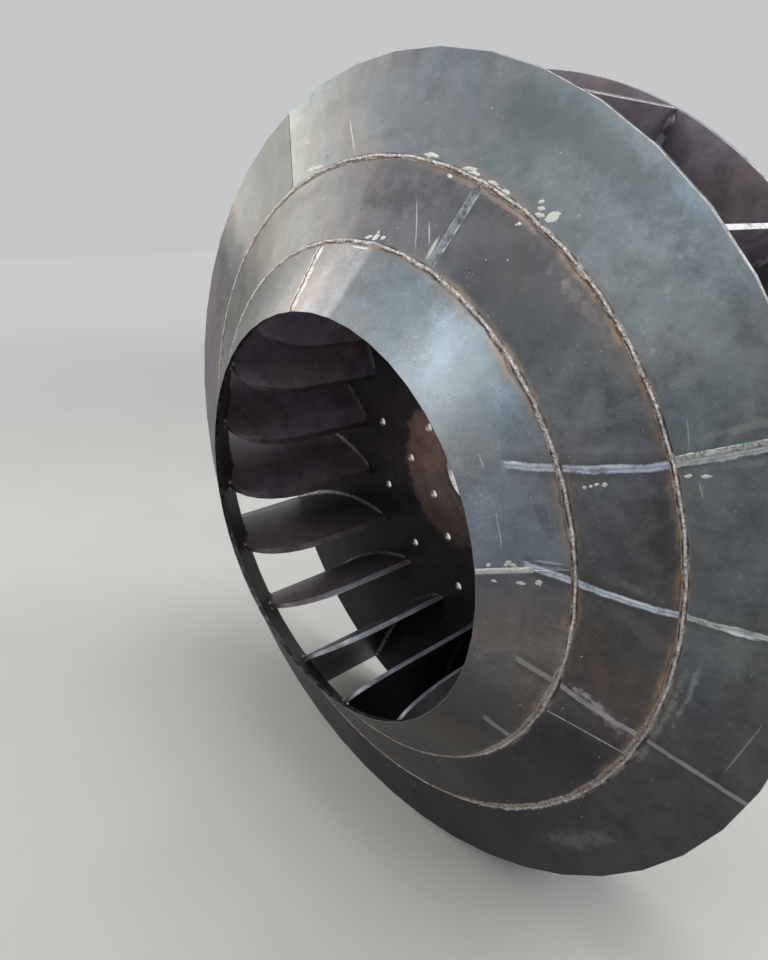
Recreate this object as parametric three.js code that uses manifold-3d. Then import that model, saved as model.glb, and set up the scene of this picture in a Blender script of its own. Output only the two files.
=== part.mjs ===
// Welded steel impeller of a centrifugal fan, standing on its two rims with the shaft axis level.
// Lengths are in millimetres and angles in degrees. The inlet faces -Y, +X is to the right as seen
// from the inlet, and +Z is up. The origin is on the floor, under the middle of the part.

import * as THREE from 'three';
import { mergeVertices } from 'three/addons/utils/BufferGeometryUtils.js';
import Module from 'manifold-3d';

// Shroud: three cones, each bent in flat strips, so that every ring is a polygon of 48 sides.
// Each profile point is on the outer face: radius from the shaft axis, and height above the
// inner face of the back plate.
const shroudProfile = [
  { name: 'inlet edge', radius: 395, height: 448 },
  { name: 'inner seam', radius: 508, height: 358 },
  { name: 'outer seam', radius: 642, height: 297 },
  { name: 'rim', radius: 800, height: 256 },
];
const shroudThickness = 8;
const facetCount = 48;

// Each cone is four quarter plates. The first joint of each, counted anticlockwise from the top.
const cones = [
  { name: 'inlet_cone', firstJoint: 12.6, colour: 0x5b626b },
  { name: 'middle_cone', firstJoint: 72, colour: 0x464a50 },
  { name: 'rim_cone', firstJoint: 27, colour: 0x50555b },
];
const platesPerCone = 4;

// Back plate, with the bore and the three bolt circles that the hub takes.
const backPlateThickness = 12;
const backPlateSides = 96;
const boreRadius = 93;
const boreSides = 48;
const boltHoleRadius = 11;
const boltHoleSides = 16;
const boltCircles = [
  { name: 'hub bolts', radius: 170, count: 6, firstAngle: 11.8 },
  { name: 'hub dowels', radius: 220, count: 6, firstAngle: 41.8 },
  { name: 'outer holes', radius: 330, count: 12, firstAngle: 26.8 },
];

// Blades: flat and radial at the rim, rolled to one radius towards the inlet.
const bladeCount = 18;
const bladeThickness = 10;
const firstBladeAngle = 16.4;
const straightEndRadius = 672;
const rollRadius = 512;
const rollAngle = 38;

// The leading edge in the plane of the axis: nearly level with the axis up to the shoulder, then
// one curve out to the shroud.
const leadingFootRadius = 388;
const leadingShoulder = { radius: 390, height: 230 };
const leadingPull = { radius: 396, height: 376 };
const leadingTipRadius = 453;
const leadingSteps = 8;

// Weld beads round the two seams of the shroud.
const beadHalfWidth = 8;
const beadHeight = 4;

const clearGap = 0.3;
const overshoot = 10;
const rollSteps = 10;

// Measures that follow from those above.
const turn = 2 * Math.PI;
const radians = THREE.MathUtils.degToRad;
const facetAngle = turn / facetCount;
const rim = shroudProfile[shroudProfile.length - 1];
const inletEdge = shroudProfile[0];
const restHeight = rim.radius * Math.cos(facetAngle / 2);
const axialLength = inletEdge.height + backPlateThickness;

const wasm = await Module();
wasm.setup();

// A closed three.js geometry as a solid that can be cut.
function solidFrom(geometry) {
  geometry.deleteAttribute('normal');
  geometry.deleteAttribute('uv');
  const merged = mergeVertices(geometry);
  return new wasm.Manifold(new wasm.Mesh({
    numProp: 3,
    vertProperties: new Float32Array(merged.attributes.position.array),
    triVerts: new Uint32Array(merged.index.array),
  }));
}

function geometryFrom(solid) {
  const mesh = solid.getMesh();
  const geometry = new THREE.BufferGeometry();
  geometry.setAttribute('position', new THREE.BufferAttribute(mesh.vertProperties, mesh.numProp));
  geometry.setIndex(new THREE.BufferAttribute(mesh.triVerts, 1));
  geometry.computeVertexNormals();
  return geometry;
}

function makeMesh(name, geometry, colour, roughness) {
  const material = new THREE.MeshStandardMaterial({ color: colour, roughness, metalness: 0.9 });
  const mesh = new THREE.Mesh(geometry, material);
  mesh.name = name;
  return mesh;
}

// A ring turned round the axis from an outline of (radius, height) points, anticlockwise. Its
// flats face straight down and straight up, so the part can stand on one.
function facetedRing(outline) {
  const closed = [...outline, outline[0]];
  const ring = new THREE.LatheGeometry(closed, facetCount, facetAngle / 2, turn);
  ring.rotateX(Math.PI / 2);
  return ring;
}

function polygonPoints(radius, sides, centre = new THREE.Vector2()) {
  const step = turn / sides;
  return Array.from({ length: sides }, (unused, index) => new THREE.Vector2(
    centre.x + radius * Math.cos((index + 0.5) * step),
    centre.y + radius * Math.sin((index + 0.5) * step),
  ));
}

// A point in the plane square to the axis, at an angle counted anticlockwise from the top.
function polarPoint(radius, angle) {
  return new THREE.Vector2(-radius * Math.sin(radians(angle)), radius * Math.cos(radians(angle)));
}

// The shroud's profile moved inwards, square to each cone, as (radius, height) points. The two
// ends keep their radius, and the seams are mitred.
function innerProfile(depth) {
  const lines = shroudProfile.slice(1).map((next, index) => {
    const start = shroudProfile[index];
    const run = next.radius - start.radius;
    const slope = (next.height - start.height) / run;
    const drop = depth * Math.hypot(1, slope);
    return { slope, base: start.height - slope * start.radius - drop };
  });
  return shroudProfile.map((corner, index) => {
    const before = lines[Math.max(index - 1, 0)];
    const after = lines[Math.min(index, lines.length - 1)];
    const isEnd = before === after;
    const radius = isEnd ? corner.radius : (after.base - before.base) / (before.slope - after.slope);
    return new THREE.Vector2(radius, after.base + after.slope * radius);
  });
}

const outerFace = innerProfile(0);
const innerFace = innerProfile(shroudThickness);

function makeBackPlate() {
  const plateRadius = restHeight / Math.cos(turn / backPlateSides / 2);
  const outline = new THREE.Shape(polygonPoints(plateRadius, backPlateSides));
  outline.holes.push(new THREE.Path(polygonPoints(boreRadius, boreSides)));
  for (const circle of boltCircles) {
    for (let index = 0; index < circle.count; index += 1) {
      const angle = circle.firstAngle + index * 360 / circle.count;
      const centre = polarPoint(circle.radius, angle);
      outline.holes.push(new THREE.Path(polygonPoints(boltHoleRadius, boltHoleSides, centre)));
    }
  }
  const plate = new THREE.ExtrudeGeometry(outline, { depth: backPlateThickness, bevelEnabled: false });
  plate.translate(0, 0, -backPlateThickness);
  return makeMesh('back_plate', geometryFrom(solidFrom(plate)), 0x3a3331, 0.6);
}

// A square column with one corner on the axis. It cuts a quarter from a ring and leaves half the
// gap of a joint on each side.
function quarterCutter(startAngle) {
  const near = clearGap / 2;
  const far = rim.radius + overshoot;
  const corners = [[near, near], [far, near], [far, far], [near, far]];
  const outline = new THREE.Shape(corners.map(([x, y]) => new THREE.Vector2(x, y)));
  const column = new THREE.ExtrudeGeometry(outline, { depth: axialLength, bevelEnabled: false });
  column.rotateZ(radians(90 + startAngle));
  return solidFrom(column);
}

function makeCone(cone, index) {
  const firstCorner = index;
  const lastCorner = index + 1;
  const along = outerFace[lastCorner].clone().sub(outerFace[firstCorner]).normalize();
  const startShift = along.clone().multiplyScalar(firstCorner === 0 ? 0 : clearGap / 2);
  const endShift = along.clone().multiplyScalar(outerFace[lastCorner].x === rim.radius ? 0 : -clearGap / 2);
  const ring = solidFrom(facetedRing([
    innerFace[firstCorner].clone().add(startShift),
    innerFace[lastCorner].clone().add(endShift),
    outerFace[lastCorner].clone().add(endShift),
    outerFace[firstCorner].clone().add(startShift),
  ]));
  return Array.from({ length: platesPerCone }, (unused, quarter) => {
    const plate = ring.intersect(quarterCutter(cone.firstJoint + quarter * 360 / platesPerCone));
    return makeMesh(`${cone.name}_plate_${quarter + 1}`, geometryFrom(plate), cone.colour, 0.45);
  });
}

// A flat bead over a seam of the shroud, just clear of both plates.
function makeSeamBead(name, corner) {
  const seam = outerFace[corner];
  const inwards = outerFace[corner - 1].clone().sub(seam).normalize();
  const outwards = outerFace[corner + 1].clone().sub(seam).normalize();
  const up = inwards.clone().add(outwards).normalize();
  const onPlate = (along, side, lift) => seam.clone().add(along.clone().multiplyScalar(beadHalfWidth * side))
    .add(up.clone().multiplyScalar(lift));
  const bead = facetedRing([
    onPlate(inwards, 1, clearGap),
    onPlate(up, 0, clearGap),
    onPlate(outwards, 1, clearGap),
    onPlate(outwards, 0.5, beadHeight),
    onPlate(inwards, 0.5, beadHeight),
  ]);
  return makeMesh(name, geometryFrom(solidFrom(bead)), 0x6f6a64, 0.55);
}

// The space that a blade may fill, turned round the axis: from the leading edge to the rim, and
// from the back plate to the shroud.
function makeBladeSpace() {
  const roof = innerProfile(shroudThickness + clearGap);
  const slope = (roof[1].y - roof[0].y) / (roof[1].x - roof[0].x);
  const tip = new THREE.Vector2(leadingTipRadius, roof[0].y + slope * (leadingTipRadius - roof[0].x));
  const shoulder = new THREE.Vector2(leadingShoulder.radius, leadingShoulder.height);
  const pull = new THREE.Vector2(leadingPull.radius, leadingPull.height);
  const edge = new THREE.QuadraticBezierCurve(tip, pull, shoulder).getPoints(leadingSteps);
  return solidFrom(facetedRing([
    new THREE.Vector2(leadingFootRadius, clearGap),
    new THREE.Vector2(rim.radius, clearGap),
    ...roof.slice(1).reverse(),
    ...edge,
  ]));
}

// The section of a blade, square to the axis: x runs out along the blade's radius, and y runs
// anticlockwise. The blade is extruded past the space it is then trimmed to.
function makeBladeBlank() {
  const half = bladeThickness / 2;
  const arcStart = -Math.PI / 2;
  const arcEnd = arcStart - radians(rollAngle);
  const section = new THREE.Shape();
  section.moveTo(rim.radius + overshoot, -half);
  section.lineTo(rim.radius + overshoot, half);
  section.lineTo(straightEndRadius, half);
  section.absarc(straightEndRadius, rollRadius, rollRadius - half, arcStart, arcEnd, true);
  section.absarc(straightEndRadius, rollRadius, rollRadius + half, arcEnd, arcStart, false);
  section.closePath();
  const settings = { depth: inletEdge.height, bevelEnabled: false, curveSegments: rollSteps };
  return new THREE.ExtrudeGeometry(section, settings);
}

function makeBlades() {
  const space = makeBladeSpace();
  return Array.from({ length: bladeCount }, (unused, index) => {
    const angle = firstBladeAngle + index * 360 / bladeCount;
    const blank = makeBladeBlank();
    blank.rotateZ(radians(90 + angle));
    const blade = solidFrom(blank).intersect(space);
    return makeMesh(`blade_${String(index + 1).padStart(2, '0')}`, geometryFrom(blade), 0x37323a, 0.5);
  });
}

// In this group z runs along the axis towards the inlet and y is up. It is turned to face -Y and
// lifted so that the lowest flats are on the floor.
const impeller = new THREE.Group();
impeller.rotation.x = Math.PI / 2;
impeller.position.set(0, axialLength / 2 - backPlateThickness, restHeight);
impeller.add(makeBackPlate());
cones.forEach((cone, index) => impeller.add(...makeCone(cone, index)));
impeller.add(makeSeamBead('inner_seam_weld', 1), makeSeamBead('outer_seam_weld', 2));
impeller.add(...makeBlades());

const part = new THREE.Group();
part.add(impeller);

export default part;
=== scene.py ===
import math
import random

import bmesh
import bpy
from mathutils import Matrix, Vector, noise


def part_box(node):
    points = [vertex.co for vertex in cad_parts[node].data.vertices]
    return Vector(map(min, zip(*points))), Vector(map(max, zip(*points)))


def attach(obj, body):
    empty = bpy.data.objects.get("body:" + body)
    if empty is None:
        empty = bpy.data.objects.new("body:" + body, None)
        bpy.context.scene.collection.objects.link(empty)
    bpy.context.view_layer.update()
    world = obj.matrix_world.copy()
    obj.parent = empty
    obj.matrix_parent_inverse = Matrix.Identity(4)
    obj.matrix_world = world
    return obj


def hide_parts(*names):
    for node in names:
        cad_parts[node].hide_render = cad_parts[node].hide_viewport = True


# Looks of a welded steel fan impeller with 18 blades. Metres and degrees.
# Angles run anticlockwise from the top as seen from the inlet. Heights run from the inner face
# of the back plate towards the inlet. A ring is a radius measured at the bends of the flats.

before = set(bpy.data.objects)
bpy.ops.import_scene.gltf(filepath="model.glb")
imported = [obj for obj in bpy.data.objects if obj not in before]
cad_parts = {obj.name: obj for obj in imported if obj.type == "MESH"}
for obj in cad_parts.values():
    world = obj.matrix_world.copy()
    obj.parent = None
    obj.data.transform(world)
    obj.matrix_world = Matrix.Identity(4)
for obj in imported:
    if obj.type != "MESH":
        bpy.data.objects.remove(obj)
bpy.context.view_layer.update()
scene = bpy.context.scene
random.seed(18)

plateLow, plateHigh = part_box("back_plate")
plateFace = plateLow.y
plateBack = plateHigh.y
axisHeight = (plateLow.z + plateHigh.z) / 2

mm = 0.001
wheel = {
    "ring": [(0.395, 0.448), (0.508, 0.358), (0.642, 0.297), (0.800, 0.256)],  # outer face: radius, height
    "thickness": 8 * mm,
    "flats": 48,
    "blades": 18,
    "firstBlade": 16.4,
    "straightEnd": 0.672,
    "rollRadius": 0.512,
}
outerRing = wheel["ring"]
innerSeam, outerSeam, rimRadius = [radius for radius, _ in outerRing[1:]]
straightEnd, rollRadius = wheel["straightEnd"], wheel["rollRadius"]
rollDistance = math.hypot(straightEnd, rollRadius)
rollBearing = math.degrees(math.atan2(rollRadius, straightEnd))
flatAngle = 360 / wheel["flats"]
bladeStep = 360 / wheel["blades"]
bladeAngles = [wheel["firstBlade"] + bladeStep * number for number in range(wheel["blades"])]


# Places on the wheel

def outward(angle):
    turn = math.radians(angle)
    return Vector((-math.sin(turn), 0, math.cos(turn)))


def wheelPoint(radius, angle, height):
    turn = math.radians(angle)
    return Vector((-radius * math.sin(turn), plateFace - height, axisHeight + radius * math.cos(turn)))


def flatFactor(angle):
    # every ring is a polygon of flats: 1 at a bend, a little less between two
    offset = (angle + flatAngle / 2) % flatAngle - flatAngle / 2
    return math.cos(math.radians(flatAngle / 2)) / math.cos(math.radians(offset))


def innerRing():
    # the outer profile moved in by the plate thickness, mitred at the seams
    lines = []
    for (r0, a0), (r1, a1) in zip(outerRing, outerRing[1:]):
        slope = (a1 - a0) / (r1 - r0)
        lines.append((slope, a0 - slope * r0 - wheel["thickness"] * math.hypot(1, slope)))
    points = []
    for (radius, _), before, after in zip(outerRing, lines[:1] + lines, lines + lines[-1:]):
        if before is not after:
            radius = (after[1] - before[1]) / (before[0] - after[0])
        points.append((radius, after[0] * radius + after[1]))
    return points


underRing = innerRing()


def roofHeight(radius, angle):
    # where a blade ends under the shroud
    ring = radius / flatFactor(angle)
    for (r0, a0), (r1, a1) in zip(underRing, underRing[1:]):
        if ring <= r1 or r1 == underRing[-1][0]:
            return a0 + (a1 - a0) * (ring - r0) / (r1 - r0) - blade["gap"]


def coneRun(ring):
    # where the cone under a ring starts, and its run outwards and towards the inlet
    index = 0 if ring < innerSeam else 1 if ring < outerSeam else 2
    (r0, a0), (r1, a1) = outerRing[index:index + 2]
    return r0, a0, r1 - r0, a1 - a0


def slopeStretch(ring):
    # how much longer the way along the plate is than the way out from the axis
    _, _, run, rise = coneRun(ring)
    return math.hypot(run, rise) / run if ring >= outerRing[0][0] else 1.0


def shroudPlace(ring, angle, lift=0.0):
    # point on the outer face, its outward normal and the way out along the slope
    r0, a0, run, rise = coneRun(ring)
    radial = outward(angle)
    inletWay = Vector((0, -1, 0))
    normal = (inletWay * run - radial * rise).normalized()
    point = wheelPoint(ring * flatFactor(angle), angle, a0 + rise * (ring - r0) / run)
    return point + normal * lift, normal, (radial * run + inletWay * rise).normalized()


def bladeTurn(radius):
    # how far the blade leans round, in degrees, at a radius
    if radius >= straightEnd:
        return 0.0
    cosine = (radius ** 2 + rollDistance ** 2 - rollRadius ** 2) / (2 * radius * rollDistance)
    return rollBearing - math.degrees(math.acos(min(cosine, 1)))


def bladePoint(bladeAngle, radius, height, side):
    # a point on one face of a blade, side metres from its middle, and the way off that face
    roll = 0.0
    if radius >= math.hypot(straightEnd, side):
        x, y = math.sqrt(radius ** 2 - side ** 2), side
    else:
        reach = rollRadius - side
        cosine = (rollDistance ** 2 + reach ** 2 - radius ** 2) / (2 * reach * rollDistance)
        roll = math.radians(90 - rollBearing) - math.acos(min(cosine, 1))
        x, y = straightEnd - reach * math.sin(roll), rollRadius - reach * math.cos(roll)
    out, left = outward(bladeAngle), outward(bladeAngle + 90)
    away = (out * math.sin(roll) + left * math.cos(roll)) * math.copysign(1, side)
    return Vector((0, plateFace - height, axisHeight)) + out * x + left * y, away


def lerp(first, second, share):
    return tuple(a + (b - a) * share for a, b in zip(first, second))


def unevenness(*place):
    return noise.noise(Vector(place))


# Meshes

def finishPiece(name, vertices, faces, materials, slot="weld_metal", marks=(), sharp=80, replaces=()):
    mesh = bpy.data.meshes.new(name)
    mesh.from_pydata([tuple(v) for v in vertices], [], faces)
    for material in materials:
        mesh.materials.append(material)
    if any(marks):
        mesh.polygons.foreach_set("material_index", marks)
    mesh.validate()
    work = bmesh.new()
    work.from_mesh(mesh)
    bmesh.ops.recalc_face_normals(work, faces=work.faces)
    work.to_mesh(mesh)
    work.free()
    mesh.polygons.foreach_set("use_smooth", [True] * len(mesh.polygons))
    mesh.set_sharp_from_angle(angle=math.radians(sharp))
    piece = bpy.data.objects.new(name, mesh)
    scene.collection.objects.link(piece)
    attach(piece, "root")
    if replaces:
        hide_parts(*replaces)
    return piece


def sweep(sections, closed=False, lanes=None):
    # skin over like sections, each a closed outline; lanes give some of its strips a second material
    size = len(sections[0])
    count = len(sections)
    faces = []
    marks = []
    for i in range(count if closed else count - 1):
        here, there = i * size, (i + 1) % count * size
        for j in range(size):
            k = (j + 1) % size
            faces.append((here + j, here + k, there + k, there + j))
            marks.append((lanes or {}).get(j, 0))
    if not closed:
        faces += [tuple(range(size)), tuple(range((count - 1) * size, count * size))]
        marks += [0, 0]
    return [point for section in sections for point in section], faces, marks


def stackRings(rings, bottom, top):
    # skin over rings of points, closed by one point below and one above
    sides = len(rings[0])
    last = (len(rings) - 1) * sides
    vertices = [point for ring in rings for point in ring] + [bottom, top]
    faces = []
    for side in range(sides):
        following = (side + 1) % sides
        for base in range(0, last, sides):
            faces.append((base + side, base + following, base + sides + following, base + sides + side))
        faces.append((following, side, last + sides))
        faces.append((last + side, last + following, last + sides + 1))
    return vertices, faces


def joinParts(parts):
    vertices = []
    faces = []
    for part in parts:
        base = len(vertices)
        vertices += part[0]
        faces += [tuple(base + i for i in face) for face in part[1]]
    return vertices, faces


# Shader helpers. A Wire is a value in the node tree being built, and takes part in sums.

canvas = {"tree": None}
socketKinds = {"Place": "Vector", "Base": "Color", "Colour": "Color"}  # every other socket is a number


class Wire:
    def __init__(self, socket):
        self.socket = socket

    def __add__(self, other):
        return calc("ADD", self, other)

    def __sub__(self, other):
        return calc("SUBTRACT", self, other)

    def __rsub__(self, other):
        return calc("SUBTRACT", other, self)

    def __mul__(self, other):
        return calc("MULTIPLY", self, other)

    def __truediv__(self, other):
        return calc("DIVIDE", self, other)

    def __abs__(self):
        return calc("ABSOLUTE", self)


def feed(socket, value):
    if isinstance(value, Wire):
        canvas["tree"].links.new(value.socket, socket)
    else:
        socket.default_value = (*value, 1.0) if socket.type == "RGBA" else value


def addNode(kind, inputs=(), **settings):
    node = canvas["tree"].nodes.new(kind)
    for key, value in settings.items():
        setattr(node, key, value)
    for key, value in inputs.items() if isinstance(inputs, dict) else enumerate(inputs):
        feed(node.inputs[key], value)
    return [Wire(socket) for socket in node.outputs]


def calc(operation, *values, clamp=False):
    return addNode("ShaderNodeMath", values, operation=operation, use_clamp=clamp)[0]


def vectorCalc(operation, *values):
    return addNode("ShaderNodeVectorMath", values, operation=operation)[0]


def scaleBy(vector, factor):
    return addNode("ShaderNodeVectorMath", {0: vector, "Scale": factor}, operation="SCALE")[0]


def fade(value, low, high, toLow=0.0, toHigh=1.0):
    limits = (value, low, high, toLow, toHigh)
    return addNode("ShaderNodeMapRange", limits, interpolation_type="SMOOTHSTEP")[0]


def mixColour(factor, first, second):
    return addNode("ShaderNodeMix", {0: factor, 6: first, 7: second}, data_type="RGBA")[2]


def cloud(place, scale, detail=3.0, rough=0.5, distortion=0.0, output=0):
    values = {"Vector": place, "Scale": scale, "Detail": detail, "Roughness": rough, "Distortion": distortion}
    return addNode("ShaderNodeTexNoise", values)[output]


def swing(value, amount):
    # a noise value turned into something that sways round nought
    return (value - 0.5) * amount


def colourSteps(value, stops):
    node = canvas["tree"].nodes.new("ShaderNodeValToRGB")
    feed(node.inputs[0], value)
    ramp = node.color_ramp
    while len(ramp.elements) < len(stops):
        ramp.elements.new(0.5)
    for element, (position, *colour) in zip(ramp.elements, stops):
        element.position = position
        element.color = colour
    return [Wire(socket) for socket in node.outputs]


def makeGroup(build, inputs, outputs):
    tree = canvas["tree"] = bpy.data.node_groups.new(build.__name__, "ShaderNodeTree")
    for way, labels in (("INPUT", inputs), ("OUTPUT", outputs)):
        for label in labels.split():
            kind = "NodeSocket" + socketKinds.get(label, "Float")
            tree.interface.new_socket(label, in_out=way, socket_type=kind)
    entries = addNode("NodeGroupInput")[:len(inputs.split())]
    addNode("NodeGroupOutput", build(*entries))
    return tree


def useGroup(group, **values):
    return {wire.socket.name: wire for wire in addNode("ShaderNodeGroup", values, node_tree=group)}


# Shared effects

print("shader groups")


def wheelPlace(place):
    x, y, z = addNode("ShaderNodeSeparateXYZ", [place])
    across, up = x * -1.0, z - axisHeight
    radius = calc("SQRT", across * across + up * up)
    angle = calc("DEGREES", calc("ARCTAN2", across, up))
    offset = calc("MODULO", angle + (360 + flatAngle / 2), flatAngle) - flatAngle / 2
    ring = radius * calc("COSINE", calc("RADIANS", offset)) / math.cos(math.radians(flatAngle / 2))
    return radius, ring, angle, plateFace - y


def bladeTrace(radius, angle):
    # how far a point of the shroud lies from the middle of the blade behind it
    cosine = (radius * radius + (rollDistance ** 2 - rollRadius ** 2)) / (radius * (2 * rollDistance))
    lean = rollBearing - calc("DEGREES", calc("ARCCOSINE", cosine))
    isRolled = calc("LESS_THAN", radius, straightEnd)
    count = (angle - wheel["firstBlade"] - lean * isRolled) / bladeStep
    nearest = calc("ROUND", count)
    blade = calc("FLOORED_MODULO", nearest, wheel["blades"])
    return (count - nearest) * math.radians(bladeStep) * radius, blade


def millScale(place, base, clouds, contrast):
    # rolling skin: a sheet's own colour broken by clouds, streaks, mottling and fine specks
    large = cloud(place, clouds, 4.0, 0.58, 0.7)
    middle = cloud(place, 23.0, 4.0, 0.62, 0.5)
    fine = cloud(place, 260.0, 2.0, 0.7)
    streak = cloud(vectorCalc("MULTIPLY", place, (26.0, 26.0, 5.0)), 1.0, 3.0, 0.6, 0.4)
    hue = cloud(vectorCalc("ADD", place, (3.7, 1.3, 8.1)), 5.5, 3.0, 0.5, 0.4)
    blots = fade(cloud(place, 75.0, 3.0, 0.65), 0.60, 0.72)
    total = swing(large, 2.6) + swing(middle, 3.4) + swing(streak, 1.1) + blots * 0.8
    gain = calc("MAXIMUM", total * contrast + 1.0 + swing(fine, 0.42), 0.25)
    cast = mixColour(fade(hue, 0.36, 0.64), (1.05, 0.98, 0.94), (0.95, 1.0, 1.04))
    rough = swing(middle, 0.22) + swing(fine, 0.16) + swing(large, -0.12)
    return scaleBy(vectorCalc("MULTIPLY", base, cast), gain), rough, fine * 0.03 + middle * 0.25


def heatTint(distance, width, place, strength):
    # oxide colours beside a weld: sooty toe, tan, brown, violet grey, in patches along the bead
    patch = fade(cloud(place, 13.0, 4.0, 0.62), 0.38, 0.64)
    reach = calc("ADD", distance / width, swing(cloud(place, 28.0, 5.0, 0.68), 1.3), clamp=True)
    colour, cover = colourSteps(reach, [
        (0.00, 0.15, 0.11, 0.08, 0.85), (0.14, 0.34, 0.235, 0.15, 0.85), (0.36, 0.27, 0.19, 0.13, 0.62),
        (0.62, 0.15, 0.12, 0.10, 0.30), (1.00, 0.07, 0.07, 0.075, 0.0)])
    return colour, cover * calc("MULTIPLY", patch * 0.88 + 0.12, strength, clamp=True)


def fineScratches(place, cells, share, length, width):
    # one hairline in each cell, each with its own direction and length
    sway = scaleBy(vectorCalc("SUBTRACT", cloud(place, 9.0, 1.0, output=1), (0.5, 0.5, 0.5)), 0.05)
    x, _, z = addNode("ShaderNodeSeparateXYZ", [vectorCalc("ADD", place, sway)])
    scaled = scaleBy(addNode("ShaderNodeCombineXYZ", [x, z])[0], cells)
    _, cellDraw, cellMiddle, *_ = addNode("ShaderNodeTexVoronoi", {"Vector": scaled, "Scale": 1.0},
                                          voronoi_dimensions="2D")
    direction, reach, chance = addNode("ShaderNodeSeparateColor", [cellDraw])
    turned = addNode("ShaderNodeVectorRotate", {"Vector": vectorCalc("SUBTRACT", scaled, cellMiddle),
                                                "Angle": direction * math.pi}, rotation_type="Z_AXIS")[0]
    across, along, _ = addNode("ShaderNodeSeparateXYZ", [turned])
    inLength = calc("LESS_THAN", abs(along), length * reach)
    inWidth = calc("SUBTRACT", 1.0, abs(across + along * along * 0.10) / width, clamp=True)
    return [inLength * inWidth * calc("LESS_THAN", chance, share)]


def workshopDust(place, flecks):
    # pale smears and small flecks that handling leaves on the plates
    distance, draw, *_ = addNode("ShaderNodeTexVoronoi", {"Vector": place, "Scale": flecks})
    size = calc("SUBTRACT", addNode("ShaderNodeSeparateColor", [draw])[0], 0.80, clamp=True) * 0.42
    return fade(cloud(place, 6.0, 6.0, 0.68, 1.4), 0.54, 0.74), calc("LESS_THAN", distance, size)


def brushMark(ring, angle, place, atRing, atAngle, stretch, turn, length, width, ragged, core):
    # a soft oval at one place of the shroud, its long way turned from straight out to anticlockwise
    out = (ring - atRing) * stretch
    around = calc("RADIANS", calc("WRAP", angle - atAngle, 180.0, -180.0)) * atRing
    spin = calc("RADIANS", turn)
    cosine, sine = calc("COSINE", spin), calc("SINE", spin)
    along = (out * cosine + around * sine) * 2.0 / length
    across = (around * cosine - out * sine) * 2.0 / width
    torn = swing(cloud(place, 48.0, 4.0, 0.65), 4.0) * ragged
    return [fade(calc("SQRT", along * along + across * across) + torn, 1.05, core)]


wheelPlaceGroup = makeGroup(wheelPlace, "Place", "Radius Ring Angle Height")
bladeTraceGroup = makeGroup(bladeTrace, "Radius Angle", "Offset Blade")
millScaleGroup = makeGroup(millScale, "Place Base Clouds Contrast", "Colour Roughness Height")
heatTintGroup = makeGroup(heatTint, "Distance Width Place Strength", "Colour Amount")
scratchGroup = makeGroup(fineScratches, "Place Cells Share Length Width", "Mask")
dustGroup = makeGroup(workshopDust, "Place Flecks", "Smear Fleck")
brushMarkGroup = makeGroup(
    brushMark, "Ring Angle Place AtRing AtAngle Stretch Turn Length Width Ragged Core", "Mask")


# Materials

print("materials")


def newMaterial(name):
    material = bpy.data.materials.new(name)
    material.use_nodes = True
    canvas["tree"] = material.node_tree
    return material, addNode("ShaderNodeTexCoord")[3]


def finishMetal(material, colour, rough, metallic, height, depth, strength=0.8):
    shader = material.node_tree.nodes["Principled BSDF"]
    feed(shader.inputs["Base Color"], colour)
    feed(shader.inputs["Roughness"], rough)
    shader.inputs["Metallic"].default_value = metallic
    feed(shader.inputs["Normal"], addNode("ShaderNodeBump", {
        "Strength": strength, "Distance": depth, "Height": height})[0])
    return material


def facing(spot, bearing):
    return calc("COSINE", calc("RADIANS", spot["Angle"] - bearing))


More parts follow.
